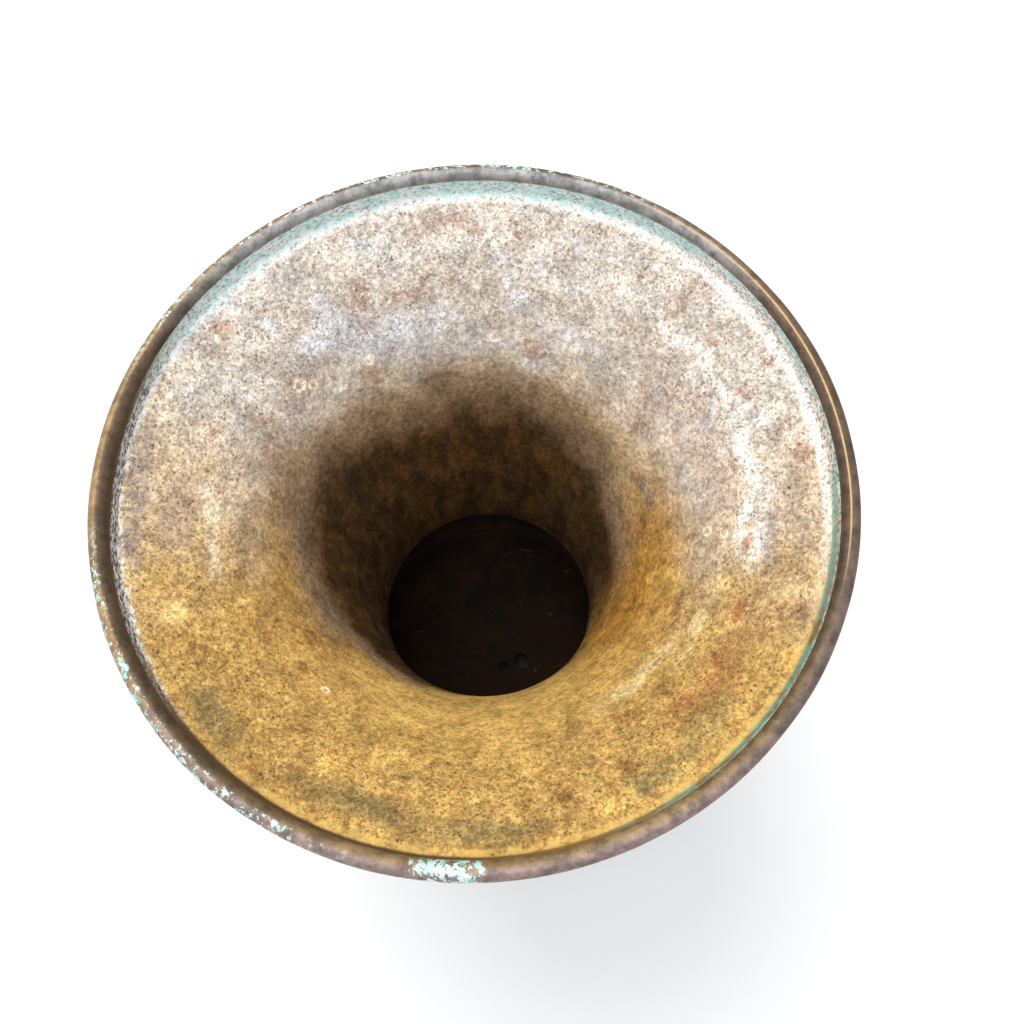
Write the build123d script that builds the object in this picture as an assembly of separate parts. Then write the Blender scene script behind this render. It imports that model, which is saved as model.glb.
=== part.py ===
from build123d import *

import os
from math import asin, cos, degrees, radians, sin

# A trumpet-mouthed brass planter pot, raised and spun from sheet brass and brazed together.
#
# Units are millimetres, +Z is up, and the origin is on the ground at the centre of the foot.
# Every piece is turned about the Z axis, so each one is a closed outline in (radius, height).

# Driving dimensions
RIM_RADIUS = 152.5  # to the outside of the rolled rim
HEIGHT = 310.0  # ground to the crest of the rim
NECK_RADIUS = 58.0  # narrowest bore, inside
NECK_HEIGHT = 118.5  # middle of the narrow neck
NECK_BAND = 11.0  # length of the straight stretch there
BELLY_RADIUS = 101.0  # widest part of the body, outside
FOOT_RADIUS = 84.0
MOUTH_SHEET = 1.2  # sheet thicknesses
BODY_SHEET = 1.4
BASE_SHEET = 1.5
SEAM_GAP = 0.05  # left between pieces that are brazed together

# Rolled rim and the upstand below it
BEAD_RADIUS = 3.6
WALL_LEAN = 10.0  # degrees out of vertical
WALL_LENGTH = 6.6
CREASE_RADIUS = 3.0
ROLL_SWEEP = 303.0  # degrees of sheet around the wire

# Trumpet curve between the neck and the rim
BRIM_SLOPE = 24.0  # degrees above the horizontal at the rim
BRIM_REACH = 68.0  # how long the curve holds each end's direction
NECK_REACH = 60.0
OUTLINE_STEPS = 14

# Collar, shoulder and belly
COLLAR_TOP = 120.0
COLLAR_FOOT = 110.0
SPIGOT_FOOT = 113.0
NECK_FLARE = 9.0
SHOULDER_FALL = 18.0  # degrees below the horizontal where the shoulder begins
BELLY_SEAM = 44.0
LAP_LENGTH = 6.0
LOWER_CURVE = 32.0
LEDGE_HEIGHT = 11.2
LEDGE_RADIUS = 69.0
DISC_RADIUS = 79.2
FOOT_STEP = 78.6  # outside of the foot where it meets the bowl

# Turned mouldings: how tall, how far the bulge stands out, and the width of the flat fillets
NECK_MOULDING = (9.0, 3.6, 1.4)
BELLY_MOULDING = (8.0, 2.2, 1.2)
BAND_RISE = 0.5  # from the belly seam up to the middle of its band

# Foot ring: radial widths of its top and its sole, and the cove and slope on its two sides
FOOT_TOP_WIDTH = 6.5
FOOT_SOLE_WIDTH = 7.0
COVE_TOP = 8.6
COVE_FOOT = 3.2
COVE_LEDGE = 1.2
COVE_DEPTH = 1.6
SLOPE_TOP = 7.0
SLOPE_FOOT = 1.8

# Fillets of brazing metal
NECK_BRAZE_RISE = 2.4
BELLY_BRAZE_RISE = 1.6
FOOT_BRAZE_WIDTH = 1.4
FOOT_BRAZE_DROP = 1.9
BASE_BRAZE_RISE = 0.9
BASE_BRAZE_HOLLOW = 0.4

# Rough drain holes near the middle of the floor: (x, y, radius)
DRAIN_HOLES = {"large": (19.0, -9.0, 5.0), "small": (7.5, -13.0, 3.5)}


def polar(centre, radius, angle):
    """The point of a circle at an angle in degrees, counted from the +radius direction."""
    return (centre[0] + radius * cos(radians(angle)), centre[1] + radius * sin(radians(angle)))


def arc(centre, radius, start, sweep):
    return CenterArc(centre, radius, start, sweep)


def outline(*points):
    """Straight edges through the points, in order."""
    return [Line(a, b) for a, b in zip(points, points[1:])]


def turned(edges):
    """The solid of revolution of a closed outline."""
    return revolve(Plane.XZ * make_face(edges), Axis.Z)


def beside(curve, distance):
    """A smooth curve that runs a distance to the right of another one."""
    points, tangents = [], []
    for step in range(OUTLINE_STEPS + 1):
        at, along = curve @ (step / OUTLINE_STEPS), curve % (step / OUTLINE_STEPS)
        points.append((at.X + distance * along.Y, at.Y - distance * along.X))
        tangents.append((along.X, along.Y))
    return Spline(*points, tangents=(tangents[0], tangents[-1]))


class Rim:
    """Where the rolled rim, its upstand and the crease below it lie, on the visible face."""

    bead = (RIM_RADIUS - BEAD_RADIUS, HEIGHT - BEAD_RADIUS)
    bead_start = 180.0 - WALL_LEAN
    wall_top = polar(bead, BEAD_RADIUS, bead_start)
    up = (sin(radians(WALL_LEAN)), cos(radians(WALL_LEAN)))
    wall_foot = (wall_top[0] - WALL_LENGTH * up[0], wall_top[1] - WALL_LENGTH * up[1])
    crease = (wall_foot[0] - CREASE_RADIUS * up[1], wall_foot[1] + CREASE_RADIUS * up[0])
    crease_start = BRIM_SLOPE - 90.0
    crease_sweep = 90.0 - WALL_LEAN - BRIM_SLOPE
    brim_edge = polar(crease, CREASE_RADIUS, crease_start)
    wire_radius = BEAD_RADIUS - MOUTH_SHEET - SEAM_GAP


def trumpet_curve():
    """The visible face of the trumpet, from the top of the neck band out to the crease."""
    neck = (NECK_RADIUS, NECK_HEIGHT + NECK_BAND / 2)
    slope = radians(BRIM_SLOPE)
    edge = Rim.brim_edge
    return Bezier(
        neck,
        (neck[0], neck[1] + NECK_REACH),
        (edge[0] - BRIM_REACH * cos(slope), edge[1] - BRIM_REACH * sin(slope)),
        edge,
    )


def mouth_trumpet():
    """Rolled rim, upstand, brim, throat and the spigot that enters the collar, in one sheet."""
    inside = trumpet_curve()
    outside = beside(inside, MOUTH_SHEET)
    hidden_bead = BEAD_RADIUS - MOUTH_SHEET
    roll_end = Rim.bead_start - ROLL_SWEEP
    crease_end = Rim.crease_start + Rim.crease_sweep
    outer_crease = CREASE_RADIUS + MOUTH_SHEET
    spigot_inside = (NECK_RADIUS, SPIGOT_FOOT)
    spigot_outside = (NECK_RADIUS + MOUTH_SHEET, SPIGOT_FOOT)
    visible = [
        Line(spigot_inside, inside @ 0),
        inside,
        arc(Rim.crease, CREASE_RADIUS, Rim.crease_start, Rim.crease_sweep),
        Line(Rim.wall_foot, Rim.wall_top),
        arc(Rim.bead, BEAD_RADIUS, Rim.bead_start, -ROLL_SWEEP),
    ]
    hidden = [
        Line(polar(Rim.bead, BEAD_RADIUS, roll_end), polar(Rim.bead, hidden_bead, roll_end)),
        arc(Rim.bead, hidden_bead, roll_end, ROLL_SWEEP),
        Line(
            polar(Rim.bead, hidden_bead, Rim.bead_start),
            polar(Rim.crease, outer_crease, crease_end),
        ),
        arc(Rim.crease, outer_crease, crease_end, -Rim.crease_sweep),
        outside,
        Line(outside @ 0, spigot_outside),
        Line(spigot_outside, spigot_inside),
    ]
    return turned(visible + hidden)


def rim_wire():
    """Iron wire that the rim is rolled over."""
    return turned([arc(Rim.bead, Rim.wire_radius, 0, 360)])


class Body:
    """Radii and centres that the shoulder, the lower bowl and their seams share."""

    collar_inside = NECK_RADIUS + MOUTH_SHEET + SEAM_GAP
    collar_outside = collar_inside + BODY_SHEET
    flare = (collar_outside + NECK_FLARE, COLLAR_FOOT)
    shoulder_start = polar(flare, NECK_FLARE, 270 - SHOULDER_FALL)
    fall = radians(SHOULDER_FALL)
    shoulder_curve = (BELLY_RADIUS - shoulder_start[0]) / (1 - sin(fall))
    belly = (BELLY_RADIUS - shoulder_curve, shoulder_start[1] - shoulder_curve * cos(fall))
    inner_belly = BELLY_RADIUS - BODY_SHEET
    lap_outside = inner_belly - SEAM_GAP
    lap_top = BELLY_SEAM + LAP_LENGTH
    joggle_foot = BELLY_SEAM - 2 * BODY_SHEET
    lower = (BELLY_RADIUS - LOWER_CURVE, joggle_foot)
    ledge_top = LEDGE_HEIGHT + BODY_SHEET
    disc_foot = ledge_top + SEAM_GAP
    disc_top = disc_foot + BASE_SHEET


def drop_angle(radius, height):
    """The angle below the horizontal at which the lower bowl's circle meets a height."""
    return degrees(asin((Body.lower[1] - height) / radius))


def shoulder_shell():
    """Upper half of the body, with the collar that takes the trumpet's spigot."""
    rise = 90 - SHOULDER_FALL
    inner_flare = NECK_FLARE + BODY_SHEET
    inner_curve = Body.shoulder_curve - BODY_SHEET
    return turned(
        [
            *outline((Body.collar_inside, COLLAR_TOP), (Body.collar_outside, COLLAR_TOP)),
            *outline((Body.collar_outside, COLLAR_TOP), (Body.collar_outside, COLLAR_FOOT)),
            arc(Body.flare, NECK_FLARE, 180, rise),
            arc(Body.belly, Body.shoulder_curve, rise, -rise),
            *outline(
                (BELLY_RADIUS, Body.belly[1]),
                (BELLY_RADIUS, BELLY_SEAM),
                (Body.inner_belly, BELLY_SEAM),
                (Body.inner_belly, Body.belly[1]),
            ),
            arc(Body.belly, inner_curve, 0, rise),
            arc(Body.flare, inner_flare, 180 + rise, -rise),
            *outline((Body.collar_inside, COLLAR_FOOT), (Body.collar_inside, COLLAR_TOP)),
        ]
    )


def lower_bowl():
    """Lower half of the body: a lap inside the shoulder, the bowl and the ledge for the floor."""
    inner_curve = LOWER_CURVE - BODY_SHEET
    outer_drop = drop_angle(LOWER_CURVE, LEDGE_HEIGHT)
    inner_drop = drop_angle(inner_curve, Body.ledge_top)
    lap_inside = Body.lap_outside - BODY_SHEET
    seam = BELLY_SEAM - SEAM_GAP
    return turned(
        [
            *outline(
                (lap_inside, Body.lap_top),
                (Body.lap_outside, Body.lap_top),
                (Body.lap_outside, seam),
                (BELLY_RADIUS, seam),
                (BELLY_RADIUS, Body.joggle_foot),
            ),
            arc(Body.lower, LOWER_CURVE, 0, -outer_drop),
            *outline(
                polar(Body.lower, LOWER_CURVE, -outer_drop),
                (LEDGE_RADIUS, LEDGE_HEIGHT),
                (LEDGE_RADIUS, Body.ledge_top),
                polar(Body.lower, inner_curve, -inner_drop),
            ),
            arc(Body.lower, inner_curve, -inner_drop, inner_drop),
            *outline((Body.inner_belly, Body.joggle_foot), (lap_inside, BELLY_SEAM)),
            *outline((lap_inside, BELLY_SEAM), (lap_inside, Body.lap_top)),
        ]
    )


def base_disc():
    """Flat floor that lies on the lower bowl's ledge, with the drain holes punched through."""
    disc = Pos(0, 0, Body.disc_foot) * Cylinder(
        DISC_RADIUS, BASE_SHEET, align=(Align.CENTER, Align.CENTER, Align.MIN)
    )
    punch_length = 4 * BASE_SHEET
    for x, y, radius in DRAIN_HOLES.values():
        disc -= Pos(x, y, Body.disc_foot) * Cylinder(radius, punch_length)
    return disc


def foot_ring():
    """Cast ring that the pot stands on, with a cove between its two fillets."""
    top = LEDGE_HEIGHT - SEAM_GAP
    inner_top, inner_foot = FOOT_STEP - FOOT_TOP_WIDTH, FOOT_RADIUS - FOOT_SOLE_WIDTH
    cove_start, cove_end = (FOOT_STEP - COVE_LEDGE, COVE_TOP), (FOOT_RADIUS, COVE_FOOT)
    return turned(
        [
            *outline(
                cove_end,
                (FOOT_RADIUS, 0),
                (inner_foot, 0),
                (inner_foot, SLOPE_FOOT),
                (inner_top, SLOPE_TOP),
                (inner_top, top),
                (FOOT_STEP, top),
                (FOOT_STEP, COVE_TOP),
                cove_start,
            ),
            SagittaArc(cove_start, cove_end, COVE_DEPTH),
        ]
    )


def ring_moulding(inside, middle, height, reach, fillet):
    """A half-round ring between two flat fillets, wrapped round a wall of the body."""
    low, high = middle - height / 2, middle + height / 2
    face = inside + fillet
    return turned(
        [
            *outline(
                (face, low + fillet),
                (face, low),
                (inside, low),
                (inside, high),
                (face, high),
                (face, high - fillet),
            ),
            SagittaArc((face, high - fillet), (face, low + fillet), reach),
        ]
    )


def neck_ring():
    """Turned ring that covers the collar."""
    middle = (COLLAR_TOP + COLLAR_FOOT) / 2
    return ring_moulding(Body.collar_outside + SEAM_GAP, middle, *NECK_MOULDING)


def belly_band():
    """Turned band that covers the seam between the two halves of the body."""
    return ring_moulding(BELLY_RADIUS + SEAM_GAP, BELLY_SEAM + BAND_RISE, *BELLY_MOULDING)


def braze_fillet(corner, across, up):
    """A fillet of brazing metal, dressed flat, in the corner of a wall and a ledge."""
    foot, top = (corner[0] + across, corner[1]), (corner[0], corner[1] + up)
    return turned(outline(top, corner, foot, top))


def neck_braze():
    """Runs round the trumpet where it enters the collar."""
    corner = (NECK_RADIUS + MOUTH_SHEET, COLLAR_TOP)
    return braze_fillet(corner, BODY_SHEET + SEAM_GAP, NECK_BRAZE_RISE)


def belly_braze():
    """Runs round the top of the lap, inside the body."""
    return braze_fillet((Body.lap_outside, Body.lap_top), -BODY_SHEET, BELLY_BRAZE_RISE)


def base_braze():
    """Fills the gap between the floor's edge and the lower bowl."""
    inner_curve = LOWER_CURVE - BODY_SHEET
    low_drop = drop_angle(inner_curve, Body.ledge_top)
    high_drop = drop_angle(inner_curve, Body.disc_top + BASE_BRAZE_RISE)
    wall_low, wall_high = (
        polar(Body.lower, inner_curve, -drop) for drop in (low_drop, high_drop)
    )
    return turned(
        [
            *outline((DISC_RADIUS, Body.disc_top), (DISC_RADIUS, Body.ledge_top), wall_low),
            arc(Body.lower, inner_curve, -low_drop, low_drop - high_drop),
            SagittaArc(wall_high, (DISC_RADIUS, Body.disc_top), BASE_BRAZE_HOLLOW),
        ]
    )


def foot_braze():
    """Runs round the top of the foot, below the bowl."""
    corner = (FOOT_STEP, LEDGE_HEIGHT - SEAM_GAP)
    return braze_fillet(corner, FOOT_BRAZE_WIDTH, -FOOT_BRAZE_DROP)


PIECES = {
    "mouth_trumpet": mouth_trumpet,
    "rim_wire": rim_wire,
    "neck_ring": neck_ring,
    "neck_braze": neck_braze,
    "shoulder_shell": shoulder_shell,
    "belly_band": belly_band,
    "belly_braze": belly_braze,
    "lower_bowl": lower_bowl,
    "base_disc": base_disc,
    "base_braze": base_braze,
    "foot_ring": foot_ring,
    "foot_braze": foot_braze,
}

os.makedirs("parts", exist_ok=True)
for name, make in PIECES.items():
    export_step(make(), f"parts/{name}.step")
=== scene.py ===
"""A weathered brass planter pot, seen from above into its trumpet mouth.

Metres, +Z up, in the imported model's frame: the origin is on the ground below the pot's middle.
Angles run anticlockwise from +X, seen from above, so 90 is the side away from the camera.
"""

import math

import bpy
import numpy as np
from mathutils import Matrix, Vector, noise


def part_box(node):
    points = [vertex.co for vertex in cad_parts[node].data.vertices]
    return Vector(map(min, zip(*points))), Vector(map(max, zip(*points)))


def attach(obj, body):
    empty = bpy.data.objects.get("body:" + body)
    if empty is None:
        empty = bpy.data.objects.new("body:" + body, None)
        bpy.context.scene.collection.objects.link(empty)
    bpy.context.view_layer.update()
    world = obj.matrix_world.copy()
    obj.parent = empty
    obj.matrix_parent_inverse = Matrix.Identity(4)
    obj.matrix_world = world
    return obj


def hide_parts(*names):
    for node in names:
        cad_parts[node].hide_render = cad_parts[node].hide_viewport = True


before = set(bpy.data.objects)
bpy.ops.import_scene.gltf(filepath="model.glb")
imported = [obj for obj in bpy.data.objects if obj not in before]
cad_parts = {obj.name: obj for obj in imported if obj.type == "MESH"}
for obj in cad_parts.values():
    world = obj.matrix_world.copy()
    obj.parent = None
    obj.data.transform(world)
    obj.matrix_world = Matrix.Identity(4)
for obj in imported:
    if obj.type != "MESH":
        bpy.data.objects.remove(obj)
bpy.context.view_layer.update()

MM = 0.001

# Sizes that the frame gives
RIM_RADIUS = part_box("mouth_trumpet")[1].x
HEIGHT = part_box("mouth_trumpet")[1].z
SPIGOT_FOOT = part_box("mouth_trumpet")[0].z
BELLY_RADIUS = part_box("shoulder_shell")[1].x
COLLAR_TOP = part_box("shoulder_shell")[1].z
BELLY_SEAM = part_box("shoulder_shell")[0].z
LEDGE_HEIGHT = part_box("lower_bowl")[0].z
FOOT_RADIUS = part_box("foot_ring")[1].x

# Sizes that the frame's boxes don't show
NECK_RADIUS = 58.0 * MM
NECK_TOP = 124.0 * MM
MOUTH_SHEET = 1.2 * MM
BODY_SHEET = 1.4 * MM
SEAM_GAP = 0.05 * MM
BEAD_RADIUS = 3.6 * MM
WALL_LEAN = 10.0
WALL_LENGTH = 6.6 * MM
CREASE_RADIUS = 3.0 * MM
ROLL_SWEEP = 303.0
BRIM_SLOPE = 24.0
BRIM_REACH = 68.0 * MM
NECK_REACH = 60.0 * MM

# Turned meshes: steps round the pot, the distance at which two points are one, and the
# largest angle between faces that is still shaded smooth
TRUMPET_SEGMENTS = 400
BODY_SEGMENTS = 256
BRAZE_SEGMENTS = 320
SAME_POINT = 1e-7
SMOOTH_ANGLE = 38.0

# Dents in each kind of piece: (depth, size across, seed)
TRUMPET_DENTS = (0.28 * MM, 0.045, 3.0)
SHOULDER_DENTS = (0.30 * MM, 0.035, 7.0)
BOWL_DENTS = (0.22 * MM, 0.035, 7.0)
MOULDING_DENTS = (0.12 * MM, 0.012, 5.0)
BRAZE_DENTS = (0.16 * MM, 0.004, 9.0)


# ---------------------------------------------------------------- outlines

def polar(centre, radius, angle):
    """The point of a circle in (radius, height), at an angle in degrees."""
    turn = math.radians(angle)
    return (centre[0] + radius * math.cos(turn), centre[1] + radius * math.sin(turn))


def arc(centre, radius, start, sweep, steps):
    """Points along a circle, from a start angle through a sweep in degrees."""
    return [polar(centre, radius, start + sweep * i / steps) for i in range(steps + 1)]


def line(start, end, steps):
    """Evenly spaced points of a straight stretch."""
    return [
        tuple(a + (b - a) * i / steps for a, b in zip(start, end)) for i in range(steps + 1)
    ]


def bezier(points, steps):
    """Points along the cubic curve of four control points."""
    a, b, c, d = (np.array(p) for p in points)
    made = []
    for t in np.linspace(0, 1, steps + 1):
        u = 1 - t
        made.append(tuple(u**3 * a + 3 * u * u * t * b + 3 * u * t * t * c + t**3 * d))
    return made


def beside(path, distance):
    """The path moved sideways, to its right, by a distance."""
    p = np.array(path)
    along = np.gradient(p, axis=0)
    along /= np.linalg.norm(along, axis=1)[:, None]
    return [tuple(q) for q in p + distance * np.c_[along[:, 1], -along[:, 0]]]


BEAD = (RIM_RADIUS - BEAD_RADIUS, HEIGHT - BEAD_RADIUS)
BEAD_START = 180.0 - WALL_LEAN
WALL_TOP = polar(BEAD, BEAD_RADIUS, BEAD_START)
WALL_FOOT = polar(WALL_TOP, WALL_LENGTH, -90.0 - WALL_LEAN)
CREASE = polar(WALL_FOOT, CREASE_RADIUS, BEAD_START)
CREASE_START = BRIM_SLOPE - 90.0
CREASE_SWEEP = 90.0 - WALL_LEAN - BRIM_SLOPE
BRIM_EDGE = polar(CREASE, CREASE_RADIUS, CREASE_START)


def trumpet_path(steps):
    """The inside of the trumpet, from the top of the neck band out to the crease."""
    return bezier(
        [
            (NECK_RADIUS, NECK_TOP),
            (NECK_RADIUS, NECK_TOP + NECK_REACH),
            polar(BRIM_EDGE, BRIM_REACH, 180.0 + BRIM_SLOPE),
            BRIM_EDGE,
        ],
        steps,
    )


# ---------------------------------------------------------------- meshes

def joined(spans):
    """One closed outline from (points, material number) spans, and its points' materials."""
    outline, slots = [], []
    for points, slot in spans:
        start = 1 if outline and math.dist(outline[-1], points[0]) < SAME_POINT else 0
        slots += [slot] * (len(points) - start)
        outline += points[start:]
    if math.dist(outline[0], outline[-1]) < SAME_POINT:
        outline.pop()
        slots.pop(0)
    return outline, slots


def lathe(name, spans, segments, shape=None):
    """A closed ring turned from (points, material number) spans that follow each other round."""
    outline, slots = joined(spans)
    count = len(outline)
    turn = np.linspace(0, 2 * math.pi, segments, endpoint=False)
    radius, height = np.array(outline).T
    points = np.stack(
        [
            np.outer(np.cos(turn), radius),
            np.outer(np.sin(turn), radius),
            np.outer(np.ones(segments), height),
        ],
        axis=-1,
    ).reshape(-1, 3)
    i, j = np.meshgrid(np.arange(segments), np.arange(count), indexing="ij")
    across, along = (i + 1) % segments, (j + 1) % count
    faces = np.stack(
        [i * count + j, i * count + along, across * count + along, across * count + j], axis=-1
    ).reshape(-1, 4)
    area = np.sum(radius * np.roll(height, -1) - np.roll(radius, -1) * height)
    if area > 0:
        faces = faces[:, ::-1]
    mesh = bpy.data.meshes.new(name)
    mesh.from_pydata(points.tolist(), [], faces.tolist())
    mesh.polygons.foreach_set("material_index", np.roll(slots, -1)[j.ravel()])
    mesh.polygons.foreach_set("use_smooth", np.ones(len(faces), bool))
    mesh.update()
    if shape:
        displace(mesh, shape)
    mesh.set_sharp_from_angle(angle=math.radians(SMOOTH_ANGLE))
    made = bpy.data.objects.new(name, mesh)
    bpy.context.scene.collection.objects.link(made)
    return made


def displace(mesh, shape):
    """Moves each vertex along its normal by what shape(point) gives."""
    count = len(mesh.vertices)
    points, normals = np.empty(3 * count), np.empty(3 * count)
    mesh.vertices.foreach_get("co", points)
    mesh.vertex_normals.foreach_get("vector", normals)
    reach = np.array([shape(Vector(p)) for p in points.reshape(-1, 3)])
    mesh.vertices.foreach_set("co", points + normals * np.repeat(reach, 3))
    mesh.update()


def finish_piece(piece, node, slot, *materials):
    """Gives a piece its materials, and puts it in the place of a CAD node."""
    for material in materials:
        piece.data.materials.append(material)
    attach(piece, "root")
    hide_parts(node)
    return piece


# ---------------------------------------------------------------- material nodes

# Socket numbers, for sockets that can't be looked up by name
SCALE_INPUT = 3
MIX_AMOUNT, MIX_FIRST, MIX_SECOND, MIX_RESULT = 0, 6, 7, 2


class Tree:
    """A material's nodes, written as calls that give back output sockets. Places are in mm."""

    def __init__(self, name):
        self.material = bpy.data.materials.new(name)
        self.material.use_nodes = True
        self.nodes = self.material.node_tree.nodes
        self.links = self.material.node_tree.links
        self.shader = self.nodes["Principled BSDF"]
        where = self.nodes.new("ShaderNodeTexCoord").outputs["Object"]
        self.place = self.vector("SCALE", where, scale=1 / MM)
        self.x, self.y, self.z = self.split(self.place)
        self.radius = self.number(
            "SQRT", self.number("ADD", self.square(self.x), self.square(self.y))
        )

    def put(self, socket, value):
        """Links an output to an input socket, or sets the input to a plain value."""
        if isinstance(value, bpy.types.NodeSocket):
            self.links.new(value, socket)
        else:
            socket.default_value = value

    def number(self, operation, a, b=0.0, c=0.0):
        node = self.nodes.new("ShaderNodeMath")
        node.operation = operation
        for socket, value in zip(node.inputs, (a, b, c)):
            self.put(socket, value)
        return node.outputs[0]

    def square(self, value):
        return self.number("MULTIPLY", value, value)

    def vector(self, operation, a, b=(0, 0, 0), scale=1.0):
        node = self.nodes.new("ShaderNodeVectorMath")
        node.operation = operation
        self.put(node.inputs[0], a)
        self.put(node.inputs[1], b)
        self.put(node.inputs[SCALE_INPUT], scale)
        return node.outputs["Value" if operation in ("LENGTH", "DOT_PRODUCT") else "Vector"]

    def split(self, vector):
        node = self.nodes.new("ShaderNodeSeparateXYZ")
        self.put(node.inputs[0], vector)
        return node.outputs[0], node.outputs[1], node.outputs[2]

    def join(self, x, y, z):
        node = self.nodes.new("ShaderNodeCombineXYZ")
        for socket, value in zip(node.inputs, (x, y, z)):
            self.put(socket, value)
        return node.outputs[0]

    def step(self, value, low, high, start=0.0, end=1.0):
        """A smooth step from start to end as value goes from low to high."""
        node = self.nodes.new("ShaderNodeMapRange")
        node.interpolation_type = "SMOOTHSTEP"
        for socket, v in zip(node.inputs, (value, low, high, start, end)):
            self.put(socket, v)
        return node.outputs[0]

    def noise(self, size, detail=3.0, rough=0.55, place=None, seed=0.0, colour=False):
        """Cloudy noise whose largest features are about size mm."""
        node = self.nodes.new("ShaderNodeTexNoise")
        node.noise_dimensions = "4D"
        self.put(node.inputs["Vector"], place or self.place)
        self.put(node.inputs["W"], seed)
        self.put(node.inputs["Scale"], 1.0 / size)
        self.put(node.inputs["Detail"], detail)
        self.put(node.inputs["Roughness"], rough)
        return node.outputs["Color" if colour else "Fac"]

    def cells(self, size, place):
        """Distance to scattered points about size mm apart, counted in those sizes."""
        node = self.nodes.new("ShaderNodeTexVoronoi")
        self.put(node.inputs["Vector"], place)
        self.put(node.inputs["Scale"], 1.0 / size)
        return node.outputs["Distance"]

    def mix(self, amount, a, b, blend="MIX"):
        """Colour a, turned into b (or blended with it) by an amount from 0 to 1."""
        node = self.nodes.new("ShaderNodeMix")
        node.data_type, node.blend_type = "RGBA", blend
        for socket, value in ((MIX_AMOUNT, amount), (MIX_FIRST, a), (MIX_SECOND, b)):
            if not isinstance(value, (bpy.types.NodeSocket, float)):
                value = (*value, 1.0)
            self.put(node.inputs[socket], value)
        return node.outputs[MIX_RESULT]

    def both(self, *masks):
        """The product of masks."""
        made = masks[0]
        for mask in masks[1:]:
            made = self.number("MULTIPLY", made, mask)
        return made

    def invert(self, mask):
        return self.number("SUBTRACT", 1.0, mask)

    def ragged(self, reach, size, detail=3.0):
        """The place pushed about by up to reach mm, so that masks get torn edges."""
        push = self.vector("SUBTRACT", self.noise(size, detail, colour=True), (0.5, 0.5, 0.5))
        return self.vector("ADD", self.place, self.vector("SCALE", push, scale=2.0 * reach))

    def facing(self, angle):
        """The cosine of the angle between this side of the pot and a compass angle."""
        turn = math.radians(angle)
        way = (math.cos(turn), math.sin(turn), 0.0)
        along = self.vector("DOT_PRODUCT", self.place, way)
        return self.number("DIVIDE", along, self.radius)

    def patch(self, place, angle, radius, along, across, soft=0.6):
        """1 inside a soft oval on the trumpet's inside, 0 outside. Half sizes in mm."""
        turn = math.radians(angle)
        height = float(np.interp(radius, *TRUMPET_HEIGHTS))
        node = self.nodes.new("ShaderNodeMapping")
        node.vector_type = "TEXTURE"
        self.put(node.inputs["Vector"], place)
        node.inputs["Location"].default_value = (
            radius * math.cos(turn), radius * math.sin(turn), height
        )
        node.inputs["Rotation"].default_value = (0, 0, turn)
        node.inputs["Scale"].default_value = (across, along, across)
        away = self.vector("LENGTH", node.outputs[0])
        return self.step(away, 1.0 - soft, 1.0 + soft, 1.0, 0.0)

    def patch_on_rim(self, place, angle, along):
        """1 inside a soft stretch of the rolled rim, reaching along mm each way from an angle."""
        turn = math.radians(angle)
        spot = (BEAD[0] / MM * math.cos(turn), BEAD[0] / MM * math.sin(turn), HEIGHT / MM)
        away = self.vector("LENGTH", self.vector("SUBTRACT", place, spot))
        return self.step(away, 0.7 * along, 1.2 * along, 1.0, 0.0)

    def bump(self, height, distance):
        """A bump whose height of 1 stands distance mm proud."""
        node = self.nodes.new("ShaderNodeBump")
        self.put(node.inputs["Height"], height)
        self.put(node.inputs["Distance"], distance * MM)
        return node.outputs[0]

    def done(self, colour, roughness, normal, metal=0.0, shine=0.5):
        """Wires up the shader and gives back the finished material."""
        self.put(self.shader.inputs["Base Color"], colour)
        self.put(self.shader.inputs["Roughness"], roughness)
        self.put(self.shader.inputs["Normal"], normal)
        self.put(self.shader.inputs["Metallic"], metal)
        self.put(self.shader.inputs["Specular IOR Level"], shine)
        return self.material


TRUMPET_HEIGHTS = [[c / MM for c in axis] for axis in zip(*trumpet_path(60))]


# ---------------------------------------------------------------- the trumpet's patina, with painted light and shade

# The patina functions count sizes and heights in mm, sides of the pot in compass degrees,
# and the levels of noises and masks from 0 to 1

# Linear colours of the inside of the mouth: its weathering, and the light, shade and sky reflection
# painted on it
# Pale: partly patina, partly painted sky reflection on the far side
PALE_AND_SHEEN = (0.55, 0.485, 0.42)
GOLD = (0.47, 0.295, 0.085)
BRIGHT_GOLD = (0.66, 0.43, 0.12)
BROWN_GOLD = (0.24, 0.13, 0.036)
PINK = (0.40, 0.285, 0.225)
CREAM = (0.80, 0.70, 0.52)
LIME = (0.84, 0.81, 0.76)
# Blue-grey: partly stain, partly painted sky reflection on the far side
BLUE_GREY_AND_SHEEN = (0.60, 0.61, 0.66)
SLATE = (0.20, 0.205, 0.215)
MAUVE = (0.25, 0.21, 0.20)
OLIVE = (0.165, 0.150, 0.060)
# Painted shade and painted light in the throat
THROAT_SHADOW = (0.040, 0.020, 0.006)
THROAT_HALF_SHADOW = (0.105, 0.052, 0.013)
THROAT_SHADOW_EDGE = (0.25, 0.17, 0.10)
THROAT_LIT_GOLD = (0.35, 0.20, 0.035)
WARM = (0.86, 0.66, 0.34)
STRAW = (0.72, 0.56, 0.29)
RUST = (0.36, 0.13, 0.045)
EMBER = (0.33, 0.145, 0.035)
PIT = (0.085, 0.050, 0.028)
PIT_SHADE = (0.30, 0.24, 0.19)
CRUMB_LIGHT = (1.65, 1.6, 1.5)
UMBER = (0.085, 0.052, 0.026)
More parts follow.
